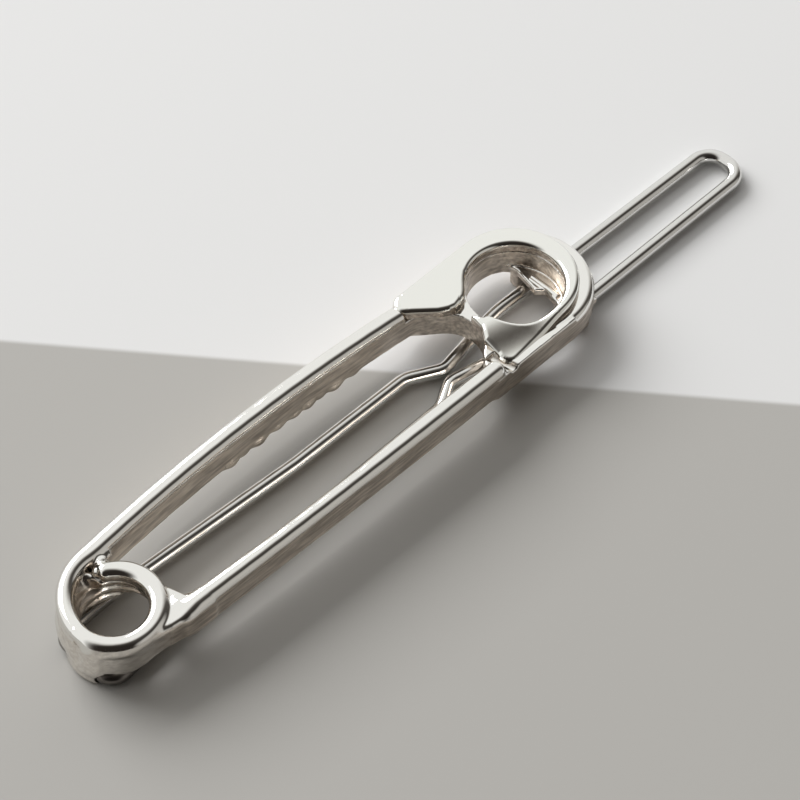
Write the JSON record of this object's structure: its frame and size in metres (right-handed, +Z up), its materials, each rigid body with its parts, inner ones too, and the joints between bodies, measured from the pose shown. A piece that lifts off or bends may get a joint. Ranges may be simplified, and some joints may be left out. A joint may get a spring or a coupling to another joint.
{
  "type": "safety-pin hair clip",
  "caption": "Silver-plated hair clip in the outline of a closed safety pin, with a hinged spring-wire clasp that closes under its head",
  "frame": {"origin": "middle of the clip's box in plan, at the height of the surface that it lies on", "axes": "+X runs from the coil to the wire loop, +Y across the clip towards the back arm, +Z up from the surface"},
  "size_m": [0.0734, 0.012, 0.0051],
  "materials": {
    "plated_casting": "polished zinc casting with a bright silver plating",
    "plated_cap": "smooth plated cover plate, polished bright",
    "spring_wire": "plated spring-steel wire"
  },
  "bodies": {
    "frame_body": {"frame": "plated_casting", "head_cap": "plated_cap"},
    "clasp": {"wire_clasp": "spring_wire"}
  },
  "joints": [
    {"name": "clasp_hinge", "type": "hinge", "parent": "frame_body", "child": "clasp", "pos_m": [-0.03559, -0.0004, 0.0007], "axis": [0, 1, 0], "range_deg": [0, 90]}
  ]
}
